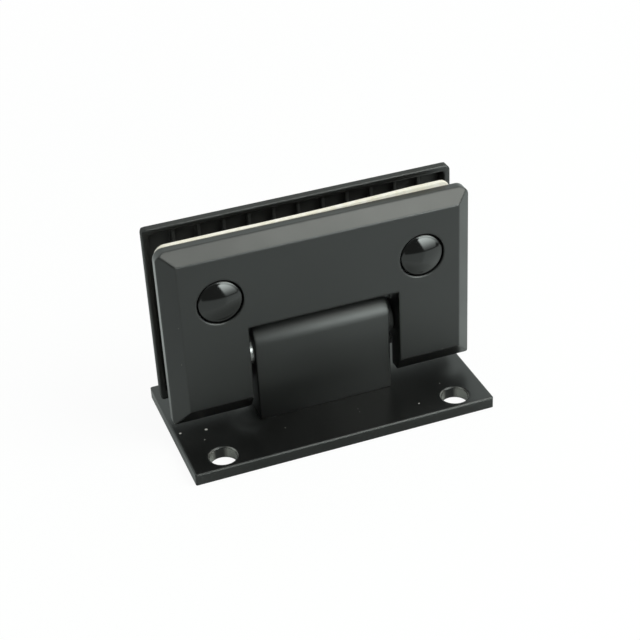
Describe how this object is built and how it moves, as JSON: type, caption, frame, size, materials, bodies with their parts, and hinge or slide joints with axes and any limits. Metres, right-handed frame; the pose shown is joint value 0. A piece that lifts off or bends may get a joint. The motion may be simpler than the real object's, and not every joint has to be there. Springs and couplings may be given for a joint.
{
  "type": "glass door hinge",
  "caption": "Wall to glass door hinge: bevelled clamp plates with domed screw caps turn on a pin through an upright knuckle on a flat screwed wall plate.",
  "frame": {"origin": "centre of the wall plate's underside, which lies on the wall", "axes": "+X along the pivot pin, -Y the front with the screw caps, +Z away from the wall"},
  "size_m": [0.09, 0.0462, 0.0644],
  "materials": {
    "black_plate": "satin black plated, with worn pale edges",
    "black_cap": "high gloss black",
    "steel": "bright turned steel",
    "black_steel": "black oxide screws",
    "spring_steel": "drawn spring wire",
    "pad": "cream vinyl pad, matt",
    "nylon": "natural nylon"
  },
  "bodies": {
    "wall_side": {"wall_plate": "black_plate", "knuckle_block": "black_plate", "left_knuckle_screw": "steel", "right_knuckle_screw": "steel", "left_flange_bush": "nylon", "right_flange_bush": "nylon", "left_tension_screw": "black_steel", "right_tension_screw": "black_steel", "left_detent_spring": "spring_steel", "right_detent_spring": "spring_steel"},
    "left_plunger": {"left_detent_plunger": "steel"},
    "right_plunger": {"right_detent_plunger": "steel"},
    "clamp": {"pivot_pin": "steel", "front_clamp_plate": "black_plate", "back_clamp_plate": "black_plate", "front_gasket": "pad", "left_pin_set_screw": "black_steel", "right_pin_set_screw": "black_steel", "left_clamp_screw": "steel", "right_clamp_screw": "steel", "left_spacer_sleeve": "nylon", "right_spacer_sleeve": "nylon", "left_screw_cap": "black_cap", "right_screw_cap": "black_cap"}
  },
  "joints": [
    {"name": "door_swing", "type": "hinge", "parent": "wall_side", "child": "clamp", "pos_m": [0, 0, 0.0247], "axis": [1, 0, 0], "range_deg": [-90, 90]},
    {"name": "left_plunger_travel", "type": "slide", "parent": "wall_side", "child": "left_plunger", "axis": [0, 0, 1], "range_m": [0, 0.0004], "stiffness_N_per_m": 800, "springref_m": 0.0004, "deforming": ["left_detent_spring"]},
    {"name": "right_plunger_travel", "type": "slide", "parent": "wall_side", "child": "right_plunger", "axis": [0, 0, 1], "range_m": [0, 0.0004], "stiffness_N_per_m": 800, "springref_m": 0.0004, "deforming": ["right_detent_spring"]}
  ]
}
